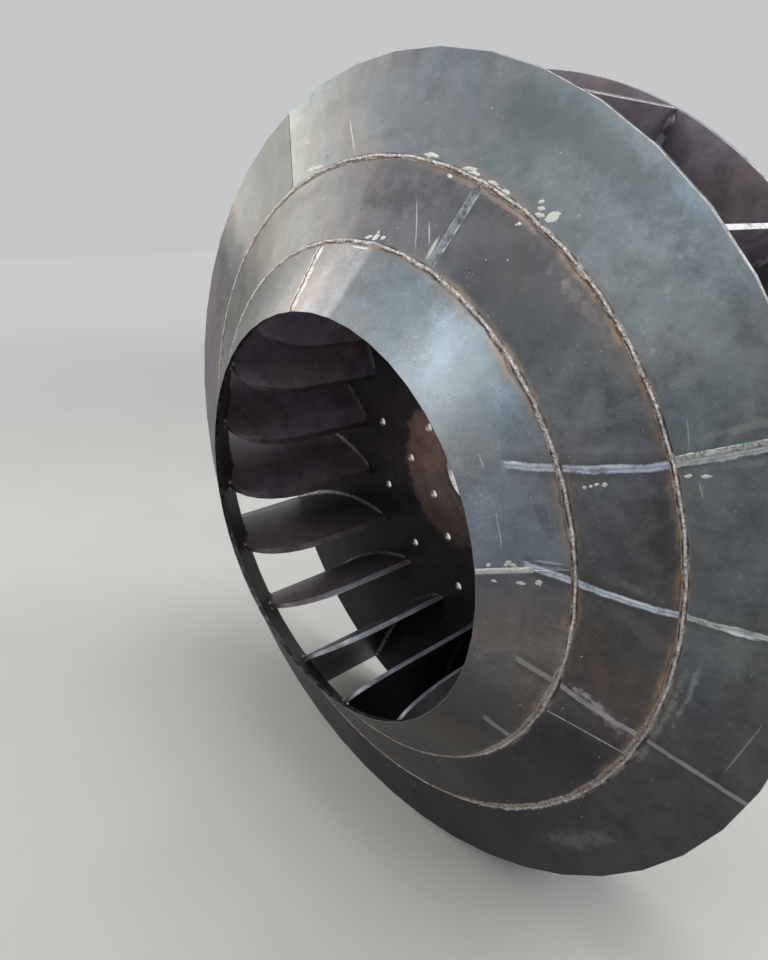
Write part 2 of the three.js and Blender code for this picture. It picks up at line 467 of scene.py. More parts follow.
# The twelve plates of the shroud. Each sheet has its colours from its first joint (0) to its last
# (1), counted anticlockwise from the cone's first joint. These colours are partly the steel's own tone
# and partly painted light: painted reflections lighten the plates that face the lamps, and painted shade
# darkens the lower plates. Seams have a place, a width of tint and a strength. Marks run between two
# places: ring and angle, ring and angle, width, colour, strength, raggedness and how much of the mark is
# its full core. Rings and widths of marks are in millimetres.
plateLooks = {
    "inlet_cone": {
        "name": "inletConeSteel", "firstJoint": 12.6, "clouds": 5.0, "contrast": 0.24, "rough": 0.44,
        "seams": [(innerSeam, 0.018, 0.95)], "traceHalf": 5.0 * mm, "tracePale": (0.68, 0.74, 0.86),
        "traceOlder": (0.36, 0.37, 0.34), "traceDull": (0.30, 0.31, 0.34), "traceStart": 0.452,
        "tracedBlades": (11, 14), "smear": 0.35,
        "scratches": [(11, 0.8, 0.48, 0.0045), (24, 0.95, 0.48, 0.007), (50, 0.95, 0.48, 0.012),
                      (95, 0.9, 0.46, 0.02)],
        "scratchStrength": 0.85,
        "sheetTonesAndLight": [
            [(0, 0.28, 0.26, 0.25), (0.15, 0.18, 0.17, 0.165), (0.3, 0.11, 0.118, 0.115),
             (0.42, 0.115, 0.125, 0.12), (0.55, 0.19, 0.19, 0.18), (1, 0.19, 0.18, 0.17)],
            [(0, 0.17, 0.16, 0.15), (0.7, 0.11, 0.10, 0.095), (1, 0.068, 0.062, 0.057)],
            [(0, 0.055, 0.05, 0.045), (0.2, 0.060, 0.056, 0.053), (0.35, 0.09, 0.085, 0.08),
             (0.52, 0.072, 0.068, 0.068), (0.66, 0.095, 0.088, 0.083), (0.8, 0.155, 0.145, 0.145),
             (1, 0.125, 0.125, 0.135)],
            [(0, 0.19, 0.21, 0.24), (0.13, 0.24, 0.265, 0.30), (0.26, 0.22, 0.25, 0.27),
             (0.34, 0.225, 0.275, 0.31), (0.53, 0.195, 0.245, 0.28), (0.61, 0.17, 0.21, 0.235),
             # from 0.82 a sharp painted reflection lights one facet of this sheet
             (0.815, 0.215, 0.22, 0.225), (0.82, 0.34, 0.33, 0.33), (0.93, 0.37, 0.36, 0.365),
             (1, 0.29, 0.275, 0.27)]],
        "marks": [
            (420, 322, 480, 332, 70, (0.36, 0.46, 0.52), 0.35, 0.45, 0.0),
            (452, 283.2, 503, 282.4, 11, (0.50, 0.56, 0.66), 0.75, 0.45, 0.45),
            (474, 295, 484, 290, 22, (0.13, 0.135, 0.15), 0.6, 0.7, 0.45),
            (466, 284.3, 500, 283.3, 6, (0.55, 0.60, 0.66), 0.7, 0.6, 0.45),
            (430, 295.6, 428.6, 286.4, 2.6, (0.42, 0.52, 0.62), 0.7, 0.25, 0.45),
            (431, 306.4, 430, 303.0, 3, (0.50, 0.56, 0.60), 0.6, 0.15, 0.45),
            # painted highlight: a glint line along the inlet side of the inner seam at the top
            (500, 3, 500, 357, 4, (0.85, 0.82, 0.82), 0.9, 0.1, 0.45)],
        "cores": [
            (458, 302.9, 475, 301.9, 6, (0.86, 0.93, 1.0), 0.85, 0.3, 0.1)],
    },
    "middle_cone": {
        "name": "middleConeSteel", "firstJoint": 72.0, "clouds": 4.2, "contrast": 0.34, "rough": 0.42,
        "seams": [(innerSeam, 0.012, 0.85), (outerSeam, 0.016, 0.9)], "traceHalf": 4.6 * mm,
        "tracePale": (0.66, 0.74, 0.88), "traceOlder": (0.50, 0.47, 0.48), "traceDull": (0.24, 0.26, 0.31),
        "traceStart": 0.45, "tracedBlades": (12, 14), "smear": 0.45,
        "scratches": [(9, 0.40, 0.48, 0.0035), (30, 0.4, 0.46, 0.009)], "scratchStrength": 0.35,
        "sheetTonesAndLight": [
            [(0, 0.20, 0.20, 0.19), (1, 0.15, 0.14, 0.135)],
            [(0, 0.10, 0.09, 0.09), (0.3, 0.05, 0.045, 0.044), (0.45, 0.042, 0.038, 0.040),
             (0.55, 0.064, 0.060, 0.060), (0.72, 0.043, 0.039, 0.045), (0.92, 0.041, 0.039, 0.048),
             (1, 0.058, 0.058, 0.067)],
            [(0, 0.088, 0.083, 0.088), (0.2, 0.088, 0.080, 0.075), (0.36, 0.098, 0.096, 0.104),
             (0.52, 0.145, 0.149, 0.158), (0.65, 0.135, 0.139, 0.143), (0.74, 0.063, 0.066, 0.071),
             (0.88, 0.048, 0.050, 0.055), (1, 0.070, 0.076, 0.084)],
            [(0, 0.092, 0.092, 0.10), (0.2, 0.098, 0.095, 0.102), (0.3, 0.135, 0.132, 0.138),
             (0.42, 0.175, 0.172, 0.17), (0.55, 0.18, 0.177, 0.167), (0.66, 0.137, 0.134, 0.125),
             (0.78, 0.115, 0.109, 0.101), (0.9, 0.14, 0.14, 0.13), (1, 0.19, 0.195, 0.185)]],
        "marks": [
            (601, 352.5, 515, 346.1, 3.2, (0.34, 0.32, 0.34), 0.8, 0.12, 0.45),
            (568, 347.1, 536, 344.3, 3, (0.36, 0.36, 0.38), 0.8, 0.12, 0.45),
            (520, 343.4, 553, 343.6, 10, (0.33, 0.34, 0.31), 0.9, 0.12, 0.45),
            (570, 4, 595, 347, 60, (0.062, 0.056, 0.062), 0.75, 0.7, 0.1),
            (530, 259.9, 640, 255.4, 30, (0.22, 0.20, 0.215), 0.8, 0.7, 0.0),
            (545, 268, 570, 261, 30, (0.14, 0.095, 0.08), 0.5, 0.45, 0.45),
            (616, 328, 628, 306, 26, (0.17, 0.15, 0.15), 0.5, 1.0, 0.0),
            (633, 352, 633, 330, 11, (0.20, 0.155, 0.15), 0.5, 0.7, 0.45),
            (520, 342, 630, 342, 30, (0.055, 0.056, 0.062), 0.6, 0.5, 0.3),
            (532, 260.0, 600, 257.1, 15, (0.50, 0.455, 0.49), 0.9, 0.7, 0.1),
            (565, 258.0, 625, 255.4, 20, (0.40, 0.37, 0.40), 0.7, 1.0, 0.0),
            (560, 276.5, 640, 271, 30, (0.13, 0.13, 0.125), 0.5, 0.6, 0.45),
            (530, 297, 640, 296.5, 30, (0.15, 0.145, 0.145), 0.5, 0.4, 0.45),
            (525, 301.6, 620, 299.0, 18, (0.21, 0.215, 0.22), 0.7, 0.6, 0.0),
            (620, 295, 622, 281, 55, (0.045, 0.045, 0.05), 0.65, 0.5, 0.2),
            (545, 281.8, 625, 278.2, 22, (0.17, 0.168, 0.162), 0.6, 0.7, 0.0),
            (612, 8, 612, 34, 55, (0.10, 0.095, 0.09), 0.5, 0.4, 0.0)],
        "cores": [
            (532, 298.9, 602, 297.3, 6, (0.86, 0.93, 1.0), 0.8, 0.35, 0.1),
            (545, 279.3, 615, 277.5, 6, (0.86, 0.93, 1.0), 0.8, 0.35, 0.1)],
    },
    "rim_cone": {
        "name": "rimConeSteel", "firstJoint": 27.0, "clouds": 3.4, "contrast": 0.32, "rough": 0.44,
        "seams": [(outerSeam, 0.007, 0.8)], "traceHalf": 3.8 * mm, "tracePale": (0.64, 0.69, 0.71),
        "traceOlder": (0.42, 0.42, 0.43), "traceDull": (0.27, 0.285, 0.295), "traceStart": 0.45,
        "tracedBlades": (12, 14), "smear": 0.30,
        "scratches": [(9, 0.40, 0.48, 0.0035), (30, 0.4, 0.46, 0.009)], "scratchStrength": 0.4,
        "sheetTonesAndLight": [
            [(0, 0.155, 0.155, 0.148), (0.1, 0.155, 0.155, 0.148), (0.23, 0.25, 0.245, 0.235),
             (0.34, 0.125, 0.127, 0.13), (0.48, 0.22, 0.195, 0.22), (1, 0.17, 0.155, 0.165)],
            [(0, 0.13, 0.12, 0.125), (0.7, 0.032, 0.028, 0.031), (1, 0.038, 0.035, 0.037)],
            [(0, 0.040, 0.038, 0.040), (0.17, 0.047, 0.045, 0.046), (0.3, 0.068, 0.066, 0.072),
             (0.5, 0.066, 0.065, 0.072), (0.62, 0.10, 0.10, 0.11), (0.72, 0.112, 0.128, 0.142),
             (0.9, 0.14, 0.152, 0.163), (1, 0.18, 0.195, 0.20)],
            [(0, 0.16, 0.19, 0.195), (0.1, 0.18, 0.205, 0.22), (0.17, 0.20, 0.24, 0.265),
             (0.25, 0.17, 0.205, 0.23), (0.36, 0.13, 0.158, 0.175), (0.5, 0.118, 0.142, 0.157),
             (0.7, 0.135, 0.14, 0.15), (0.82, 0.172, 0.178, 0.185), (0.92, 0.24, 0.245, 0.24),
             (1, 0.28, 0.295, 0.28)]],
        "marks": [
            (673.5, 272, 669, 261.5, 10, (0.23, 0.245, 0.24), 0.75, 0.8, 0.1),
            (657.5, 271.5, 654.5, 250, 17, (0.20, 0.205, 0.195), 0.8, 0.9, 0.0),
            (764, 267.4, 752, 258.4, 3.5, (0.27, 0.29, 0.29), 0.7, 0.3, 0.45),
            (655, 298.6, 795, 299.2, 14, (0.26, 0.27, 0.27), 0.6, 0.9, 0.1),
            (650, 295.6, 790, 295.2, 16, (0.27, 0.28, 0.28), 0.6, 0.9, 0.1),
            (648, 276.0, 780, 276.2, 30, (0.17, 0.185, 0.185), 0.5, 0.6, 0.0),
            (715, 222, 730, 238, 55, (0.19, 0.187, 0.185), 0.5, 0.6, 0.0),
            (745, 353, 768, 311, 100, (0.085, 0.098, 0.102), 0.85, 0.35, 0.1),
            (745, 18, 745, 7, 60, (0.13, 0.135, 0.14), 0.5, 0.3, 0.0),
            (700, 279, 715, 271, 50, (0.19, 0.22, 0.22), 0.4, 0.7, 0.1),
            (655, 350, 650, 332, 12, (0.19, 0.155, 0.155), 0.6, 0.45, 0.45),
            (680, 318, 745, 303, 90, (0.24, 0.285, 0.31), 0.4, 0.3, 0.0),
            (775, 312, 762, 304, 30, (0.13, 0.15, 0.16), 0.5, 0.5, 0.0),
            (700, 352, 745, 345, 80, (0.12, 0.135, 0.155), 0.5, 0.25, 0.0),
            (674.6, 301.6, 665.6, 297.6, 3, (0.36, 0.38, 0.36), 0.7, 0.12, 0.45),
            (668.8, 294.2, 671.1, 292.1, 4, (0.36, 0.36, 0.30), 0.7, 0.12, 0.45),
            (648, 9.1, 710, 11.3, 3, (0.55, 0.54, 0.50), 0.7, 0.5, 0.45)],
        "cores": [
            (680, 276.7, 740, 276.5, 7, (0.85, 0.90, 0.94), 0.9, 0.4, 0.2)],
    },
}


def sheetToneAndLight(look, angle):
    # the ramp of sheet tones and painted light runs once round the cone, with a jump at every joint
    edge = 0.002
    stops = [((number + edge + share * (1 - 2 * edge)) / len(look["sheetTonesAndLight"]), *colour, 1.0)
             for number, sheet in enumerate(look["sheetTonesAndLight"]) for share, *colour in sheet]
    return colourSteps(calc("FRACT", (angle - look["firstJoint"]) / 360.0), stops)[0]


# Heat marks of the blades welded on behind, counted from blade 0
traces = {"shifted": 13, "shift": 8 * mm, "olderTo": 12, "soot": (0.055, 0.052, 0.055)}


def addTraces(place, spot, look, colour):
    trace = useGroup(bladeTraceGroup, Radius=spot["Radius"], Angle=spot["Angle"])
    aside = calc("COMPARE", trace["Blade"], traces["shifted"], 0.2) * traces["shift"]
    wander = trace["Offset"] - aside + swing(cloud(place, 26.0, 3.0, 0.6), 0.006)
    gap = abs(wander) + swing(cloud(place, 160.0, 2.0, 0.6), 0.004)
    first, last = look["tracedBlades"]
    strength = calc("COMPARE", trace["Blade"], (first + last) / 2, (last - first) / 2 + 0.2)
    strength = strength * fade(spot["Ring"], look["traceStart"] - 2 * mm, look["traceStart"] + 4 * mm)
    half = look["traceHalf"]
    halo = fade(gap, half * 5.0, half) * strength
    band = fade(gap, half * 1.5, half * 0.6) * strength
    pale = fade(cloud(place, 55.0, 4.0, 0.65), 0.28, 0.56)
    tone = calc("MULTIPLY", fade(gap, half * 0.2, half * 0.55) * 0.5 + 0.5, pale, clamp=True)
    older = calc("LESS_THAN", trace["Blade"], traces["olderTo"] + 0.5)
    metal = mixColour(tone, look["traceDull"], mixColour(older, look["tracePale"], look["traceOlder"]))
    colour = mixColour(halo * 0.40, colour, traces["soot"])
    return mixColour((older * -0.3 + 0.9) * band, colour, metal), band


def addMarks(place, spot, marks, colour):
    for ringA, angleA, ringB, angleB, width, tone, strength, ragged, core in marks:
        ring = (ringA + ringB) / 2 * mm
        swept = (angleB - angleA + 180) % 360 - 180
        stretch = slopeStretch(ring)
        out = (ringB - ringA) * mm * stretch
        around = math.radians(swept) * ring
        mask = useGroup(brushMarkGroup, Ring=spot["Ring"], Angle=spot["Angle"], Place=place, AtRing=ring,
                        AtAngle=angleA + swept / 2, Stretch=stretch, Width=width * mm,
                        Turn=math.degrees(math.atan2(around, out)),
                        Length=math.hypot(out, around) + width * mm, Ragged=ragged, Core=core)["Mask"]
        colour = mixColour(mask * strength, colour, tone)
    return colour


# Oxide tints of the seam welds: the bearing where the welder ran hottest, and where a bead's toe is
tinting = {"hottest": 290.0, "toe": 4.5 * mm}


def plateMaterial(look):
    material, place = newMaterial(look["name"])
    spot = useGroup(wheelPlaceGroup, Place=place)
    skin = useGroup(millScaleGroup, Place=place, Base=sheetToneAndLight(look, spot["Angle"]),
                    Clouds=look["clouds"], Contrast=look["contrast"])
    dust = useGroup(dustGroup, Place=place, Flecks=60.0)
    smear = dust["Smear"] * look["smear"]
    colour = mixColour(smear, skin["Colour"], scaleBy(skin["Colour"], 1.6))
    colour = addMarks(place, spot, look["marks"], colour)

    heat = fade(facing(spot, tinting["hottest"]), 0.45, 0.96, 0.15, 1.0)
    for seam, width, strength in look["seams"]:
        away = abs(spot["Ring"] - seam) - tinting["toe"]
        tint = useGroup(heatTintGroup, Distance=away, Width=width, Place=place, Strength=heat * strength)
        colour = mixColour(tint["Amount"], colour, tint["Colour"])
    colour, band = addTraces(place, spot, look, colour)
    colour = addMarks(place, spot, look["cores"], colour)

    scratches = [useGroup(scratchGroup, Place=place, Cells=cells, Share=share, Length=length, Width=width)
                 for cells, share, length, width in look["scratches"]]
    lines = scratches[0]["Mask"]
    for more in scratches[1:]:
        lines = calc("MAXIMUM", lines, more["Mask"])
    lines = lines * fade(cloud(place, 11.0, 3.0, 0.6), 0.45, 0.60) * look["scratchStrength"]
    colour = mixColour(lines, colour, scaleBy(colour, 2.4))
    colour = mixColour(dust["Fleck"] * 0.5, colour, (0.5, 0.5, 0.48))
    rough = skin["Roughness"] + look["rough"] - band * 0.10 + smear * 0.25
    height = skin["Height"] - lines * 0.05 + cloud(place, 5.5, 1.0) * 2.2
    return finishMetal(material, colour, rough, 0.9, height, 0.9 * mm)


plateMaterials = {cone: plateMaterial(look) for cone, look in plateLooks.items()}


def insideMaterial(name, look):
    # plate inside the wheel, with painted light: lighter towards the rim at one bearing, and painted shade on
    # the lower blades and beside the back plate
    material, place = newMaterial(name)
    spot = useGroup(wheelPlaceGroup, Place=place)
    height = spot["Height"]
    reach = spot["Radius"] + swing(cloud(place, 5.0, 3.0), 0.25)
    # painted light: the outer part towards outerAngle is lighter
    outer = fade(reach, 0.45, 0.60) * fade(facing(spot, look["outerAngle"]), 0.3, 0.75)
    base = mixColour(outer, look["base"], look["litOuterBase"])
    base = addMarks(place, spot, look["marks"], base)
    base = mixColour(fade(height, -4 * mm, -8 * mm), base, look["farBase"])
    # little light reaches the lower blades, least of all beside the back plate
    rise = facing(spot, 0.0) * spot["Radius"]
    deep = calc("MAXIMUM", fade(height, 0.0, 0.28, look["deepShade"], look["lowShade"]),
                fade(height, -2 * mm, -6 * mm))
    base = scaleBy(base, calc("MAXIMUM", fade(rise, -0.26, -0.02), deep))
    skin = useGroup(millScaleGroup, Place=place, Base=base, Clouds=look["clouds"], Contrast=0.34)
    dust = useGroup(dustGroup, Place=place, Flecks=45.0)
    lines = useGroup(scratchGroup, Place=place, Cells=26.0, Share=0.4, Length=0.42, Width=0.012)
    colour = mixColour(dust["Smear"] * 0.4, skin["Colour"], scaleBy(skin["Colour"], 1.8))
    colour = mixColour(lines["Mask"] * 0.35, colour, (0.4, 0.38, 0.38))
    colour = mixColour(dust["Fleck"] * 0.4, colour, (0.5, 0.48, 0.46))
    rough = skin["Roughness"] + look["rough"]
    return finishMetal(material, colour, rough, 0.6, skin["Height"] + cloud(place, 6.0, 1.0), 0.9 * mm)


bladeSteel = insideMaterial("bladeSteel", {
    "base": (0.27, 0.225, 0.265), "litOuterBase": (0.27, 0.23, 0.265), "farBase": (0.27, 0.225, 0.265),
    "outerAngle": 325, "clouds": 5.0, "rough": 0.44, "deepShade": 0.22, "lowShade": 0.55, "marks": []})
backPlateSteel = insideMaterial("backPlateSteel", {
    "base": (0.070, 0.060, 0.066), "litOuterBase": (0.20, 0.165, 0.185), "farBase": (0.15, 0.135, 0.14),
    "outerAngle": 325, "clouds": 3.6, "rough": 0.48, "deepShade": 0.4, "lowShade": 0.4,
    # the warm mark is a painted pool of light where light falls in through the eye
    "marks": [(165, 62, 165, 172, 150, (0.32, 0.215, 0.18), 0.9, 0.2, 0.8)]})


def groundMaterial(name, pale, dark, cover):
    # bare metal left by the grinder, with short parallel strokes
    material, place = newMaterial(name)
    strokes = cloud(vectorCalc("MULTIPLY", place, (260.0, 260.0, 900.0)), 1.0, 2.0, 0.6)
    bare = fade(cloud(place, 60.0, 3.0, 0.6), cover - 0.12, cover + 0.12, 1.0, 0.0)
    colour = mixColour(bare, dark, pale)
    colour = mixColour(strokes * 0.35, colour, scaleBy(colour, 0.5))
    return finishMetal(material, colour, strokes * 0.25 + 0.32, 0.95, strokes, 0.3 * mm)


groundSteel = groundMaterial("groundEdgeSteel", (0.31, 0.305, 0.31), (0.12, 0.115, 0.12), 0.60)
cutFaceSteel = groundMaterial("cutFaceSteel", (0.20, 0.20, 0.21), (0.06, 0.055, 0.06), 0.46)
weldMetals = {
    "brightStrip": groundMaterial("brightStripSteel", (0.36, 0.375, 0.39), (0.12, 0.125, 0.14), 0.50),
    "greyStrip": groundMaterial("greyStripSteel", (0.18, 0.195, 0.215), (0.08, 0.085, 0.095), 0.50),
}


def leadingEdgeMaterial(look):
    # the lowest blades were ground bare half way along, and carry a painted highlight there that fades into
    # painted shade towards the back plate; the others stay as dark as their faces
    material, place = newMaterial("leadingEdgeSteel")
    spot = useGroup(wheelPlaceGroup, Place=place)
    height = spot["Height"] + swing(cloud(place, 30.0, 3.0), 0.12)
    # painted light by height: brightest part way up the edge, painted shade towards both ends
    window = fade(height, *look["bareLitFrom"]) * fade(height, *look["bareLitTo"])
    bare = fade(facing(spot, look["lowest"]), 0.72, 0.86) * (window * 0.78 + 0.22)
    streak = cloud(vectorCalc("MULTIPLY", place, (90.0, 25.0, 90.0)), 1.0, 2.0, 0.6)
    bright = mixColour(fade(streak, 0.30, 0.66), look["grey"], look["bright"])
    skin = useGroup(millScaleGroup, Place=place, Base=look["base"], Clouds=9.0, Contrast=0.4)
    colour = mixColour(bare, skin["Colour"], bright)
    return finishMetal(material, colour, fade(bare, 0.0, 1.0, 0.5, 0.34), 0.85, streak, 0.3 * mm)


leadingEdgeSteel = leadingEdgeMaterial({
    "lowest": 190.0, "bareLitFrom": (0.06, 0.16), "bareLitTo": (0.34, 0.27), "grey": (0.40, 0.48, 0.63),
    "bright": (0.82, 0.90, 1.0), "base": (0.14, 0.118, 0.137)})


def addSeamRuns(place, look, colour):
    # the root run on the inlet side is browner, and a broken line of painted shade parts it from the cap run;
    # the cap run carries a painted highlight on its crest and painted shade along its outer toe;
    # one stretch was run slowly and stayed dull and even
    spot = useGroup(wheelPlaceGroup, Place=place)
    side = spot["Ring"] - look["seam"]
    quick = fade(facing(spot, look["slow"]), 0.80, 0.95, 1.0, 0.35)
    root = fade(side, -0.8 * mm, -2.2 * mm)
    colour = mixColour(root * 0.62 * quick, colour, look["root"])
    # painted shade in the groove between the two runs
    grooveShade = fade(abs(side + 1.6 * mm), 1.2 * mm, 0.3 * mm) * fade(cloud(place, 60.0, 2.0), 0.40, 0.54)
    colour = mixColour(grooveShade * quick, colour, look["dark"])
    # painted highlight along the crest of the cap run
    shine = fade(abs(side - 1.7 * mm), 2.4 * mm, 0.4 * mm)
    shine = shine * fade(cloud(place, 230.0, 3.0, 0.7), 0.43, 0.57, 0.1, 1.0)
    colour = mixColour(shine * quick, colour, look["crestHighlight"])
    # painted shade along the outer toe, in ragged patches
    ragged = fade(cloud(place, 34.0, 3.0), 0.38, 0.56, 0.2, 0.85)
    return mixColour(fade(side, 3.4 * mm, 4.6 * mm) * ragged, colour, look["dark"])


def weldMaterial(name, look):
    # dark is the soot colour, and in the seam beads also the colour of painted shade
    look = {"rust": 0.6, "soot": 0.6, "metallic": 0.75, "dark": (0.03, 0.024, 0.022), **look}
    material, place = newMaterial(name)
    rust = fade(cloud(place, 30.0, 4.0, 0.65), 0.42, 0.64)
    soot = fade(cloud(place, 190.0, 3.0, 0.7), 0.50, 0.66)
    colour = mixColour(rust * look["rust"], look["metal"], look["oxide"])
    colour = mixColour(soot * look["soot"], colour, look["dark"])
    if "rimMetal" in look:
        # the outer ends of the fillets were brushed clean
        radius = useGroup(wheelPlaceGroup, Place=place)["Radius"]
        brushed = fade(radius, 0.60, 0.68) * fade(cloud(place, 90.0, 3.0, 0.6), 0.38, 0.56)
        colour = mixColour(brushed, colour, look["rimMetal"])
    if "seam" in look:
        colour = addSeamRuns(place, look, colour)
    rough = soot * 0.25 + look["rough"]
    crumbs = cloud(place, 620.0, 3.0, 0.7) + cloud(place, 240.0, 2.0, 0.6)
    return finishMetal(material, colour, rough, look["metallic"], crumbs, 0.9 * mm, 1.0)


seamLook = {"metal": (0.38, 0.355, 0.34), "oxide": (0.23, 0.18, 0.145), "crestHighlight": (0.78, 0.74, 0.71),
            "root": (0.23, 0.145, 0.095), "slow": 236.0, "rough": 0.36}
weldLooks = {
    "innerSeamMetal": {**seamLook, "seam": innerSeam},
    "outerSeamMetal": {**seamLook, "seam": outerSeam},
    "brightWeldMetal": {
        "metal": (0.80, 0.77, 0.74), "oxide": (0.40, 0.34, 0.29), "soot": 0.55, "rough": 0.40},
    "rustyRootMetal": {
        "metal": (0.24, 0.165, 0.12), "oxide": (0.12, 0.085, 0.06), "rough": 0.50},
    "creamWeldMetal": {
        "metal": (0.56, 0.56, 0.54), "oxide": (0.40, 0.39, 0.36), "rust": 0.5, "soot": 0.12, "rough": 0.45,
        "metallic": 0.5},
    "greyWeldMetal": {
        "metal": (0.42, 0.43, 0.43), "oxide": (0.20, 0.19, 0.17), "soot": 0.55, "rough": 0.42},
    "sootyGapMetal": {
        "metal": (0.05, 0.045, 0.045), "oxide": (0.03, 0.025, 0.02), "rust": 0.4, "soot": 0.5,
        "rough": 0.60},
    "filletWeldMetal": {
        "metal": (0.15, 0.14, 0.155), "oxide": (0.09, 0.07, 0.06), "rough": 0.40,
        "rimMetal": (0.36, 0.355, 0.37)},
    "slagMetal": {
        "metal": (0.62, 0.64, 0.59), "oxide": (0.42, 0.44, 0.40), "rust": 0.5, "soot": 0.10, "rough": 0.45,
        "metallic": 0.5},
}
for name, look in weldLooks.items():
    weldMetals[name] = weldMaterial(name, look)


# Camera at the photograph's place, for a picture of 768 x 960

print("camera and lights")
cameraPlan = {
    "place": (0.93502, -0.92032, 1.42179), "turn": (65.56364, -2.76022, 47.83366),
    "focalPixels": 688.336, "middle": (395.365, 480.604), "picture": (768, 960), "sensor": 36,
}


def makeCamera():
    width, tall = cameraPlan["picture"]
    middle = cameraPlan["middle"]
    lens = bpy.data.cameras.new("camera")
    lens.sensor_width = cameraPlan["sensor"]
    lens.lens = cameraPlan["sensor"] * cameraPlan["focalPixels"] / tall
    lens.shift_x = (width / 2 - middle[0]) / tall
    lens.shift_y = (middle[1] - tall / 2) / tall
    lens.clip_start = 0.01
    camera = bpy.data.objects.new("camera", lens)
    camera.location = cameraPlan["place"]
    camera.rotation_euler = [math.radians(v) for v in cameraPlan["turn"]]
    scene.collection.objects.link(camera)
    scene.camera = camera


makeCamera()

# Bearing and rise seen from the wheel, distance, size, power and colour. Bearing 0 looks out of
# the inlet, and + is to the right.
lights = {
    "frontPanel": (-28, 38, 3.6, (3.4, 1.7), 30, (0.98, 0.99, 1.0)),
    "leftPanel": (-71, 20, 4.6, (2.4, 2.0), 44, (1.0, 0.98, 0.90)),
    "rightPanel": (4, 40, 3.4, (1.6, 1.2), 17, (1.0, 0.98, 0.96)),
    "topPanel": (120, 78, 3.0, (2.6, 2.6), 75, (1.0, 1.0, 1.0)),
    "rearPanel": (150, 30, 3.6, (2.4, 1.4), 55, (1.0, 1.0, 1.0)),
}


def makeLight(name, bearing, rise, far, size, power, colour):
    data = bpy.data.lights.new(name, "AREA")
    data.shape = "RECTANGLE"
    data.size, data.size_y = size
    data.energy = power
    data.color = colour
    light = bpy.data.objects.new(name, data)
    turn, lift = math.radians(bearing), math.radians(rise)
    way = Vector((math.cos(lift) * math.sin(turn), -math.cos(lift) * math.cos(turn), math.sin(lift)))
    light.location = Vector((0, 0, axisHeight)) + way * far
    light.rotation_euler = way.to_track_quat("Z", "Y").to_euler()
    scene.collection.objects.link(light)


for name, plan in lights.items():
    makeLight(name, *plan)

room = {"glow": (0.80, 0.82, 0.84), "strength": 0.5, "backdrop": (0.56, 0.57, 0.58),
        "floor": [(0.50, 0.49, 0.47), (0.58, 0.57, 0.55)], "floorSize": 20.0, "melt": (1.2, 6.0)}


def makeRoom():
    # an even grey glow that shows as a pale backdrop
    world = bpy.data.worlds.new("studio")
    scene.world = world
    world.use_nodes = True
    tree = canvas["tree"] = world.node_tree
    glow = tree.nodes["Background"]
    feed(glow.inputs[0], room["glow"])
    feed(glow.inputs[1], room["strength"])
    backdrop = addNode("ShaderNodeBackground", [room["backdrop"]])[0]
    seen = addNode("ShaderNodeLightPath")[0]
    blend = addNode("ShaderNodeMixShader", [seen, Wire(glow.outputs[0]), backdrop])[0]
    feed(tree.nodes["World Output"].inputs["Surface"], blend)


def makeFloor():
    half = room["floorSize"] / 2
    black = (0, 0, 0)
    corners = [(-half, -half, 0), (half, -half, 0), (half, half, 0), (-half, half, 0)]
    mesh = bpy.data.meshes.new("workshop_floor")
    mesh.from_pydata(corners, [], [(0, 1, 2, 3)])
    material, place = newMaterial("paleFloor")
    shader = material.node_tree.nodes["Principled BSDF"]
    near = mixColour(cloud(place, 2.0, 4.0), *room["floor"])
    far = fade(addNode("ShaderNodeVectorMath", [place], operation="LENGTH")[1], *room["melt"])
    feed(shader.inputs["Base Color"], mixColour(far, near, black))
    feed(shader.inputs["Emission Color"], mixColour(far, black, room["backdrop"]))
    for label, value in (("Emission Strength", 1.0), ("Specular IOR Level", 0.2), ("Roughness", 0.8)):
        shader.inputs[label].default_value = value
    mesh.materials.append(material)
    floor = bpy.data.objects.new("workshop_floor", mesh)
    scene.collection.objects.link(floor)


makeRoom()
makeFloor()


# Shroud: three cones, each of four quarter plates bent in flat strips

shroud = {
    "cones": ["inlet_cone", "middle_cone", "rim_cone"],
    "bends": [3.0, 1.6, 1.4],          # degrees from a bend line to where the flat begins
    "quarters": 4,
    "jointGap": 0.4 * mm,
    "chamfer": 0.8 * mm,
    "rows": 8,
    "wave": 0.5 * mm,
}


def towards(first, second, distance):
    return lerp(first, second, distance / math.dist(first, second))


def coneSection(index, inset):
    # closed outline of a plate in radius and height; inset trims both faces at a joint
    rows, cut = shroud["rows"], shroud["chamfer"]
    outer, under = outerRing[index:index + 2], underRing[index:index + 2]
    outline = []
    for face, behind in ((outer, under), (under[::-1], outer[::-1])):
        first, last = [towards(*pair, inset) for pair in zip(face, behind)]
        firstBehind, lastBehind = [towards(*pair, inset) for pair in zip(behind, face)]
        flat = towards(first, last, cut), towards(last, first, cut)
        outline.append(towards(first, firstBehind, cut))
        outline += [lerp(*flat, i / rows) for i in range(rows + 1)]
        outline.append(towards(last, lastBehind, cut))
    return outline


def columnAngles(start, end, radius, bend):
    cut = math.degrees(shroud["chamfer"] / radius)
    marks = []
    for flat in range(math.floor(start / flatAngle) - 1, math.ceil(end / flatAngle) + 1):
        for offset in (-flatAngle / 2, -flatAngle / 2 + bend, 0, flatAngle / 2 - bend):
            angle = flat * flatAngle + offset
            if start + 2 * cut < angle < end - 2 * cut:
                marks.append(angle)
    return [start, start + cut] + sorted(marks) + [end - cut, end]


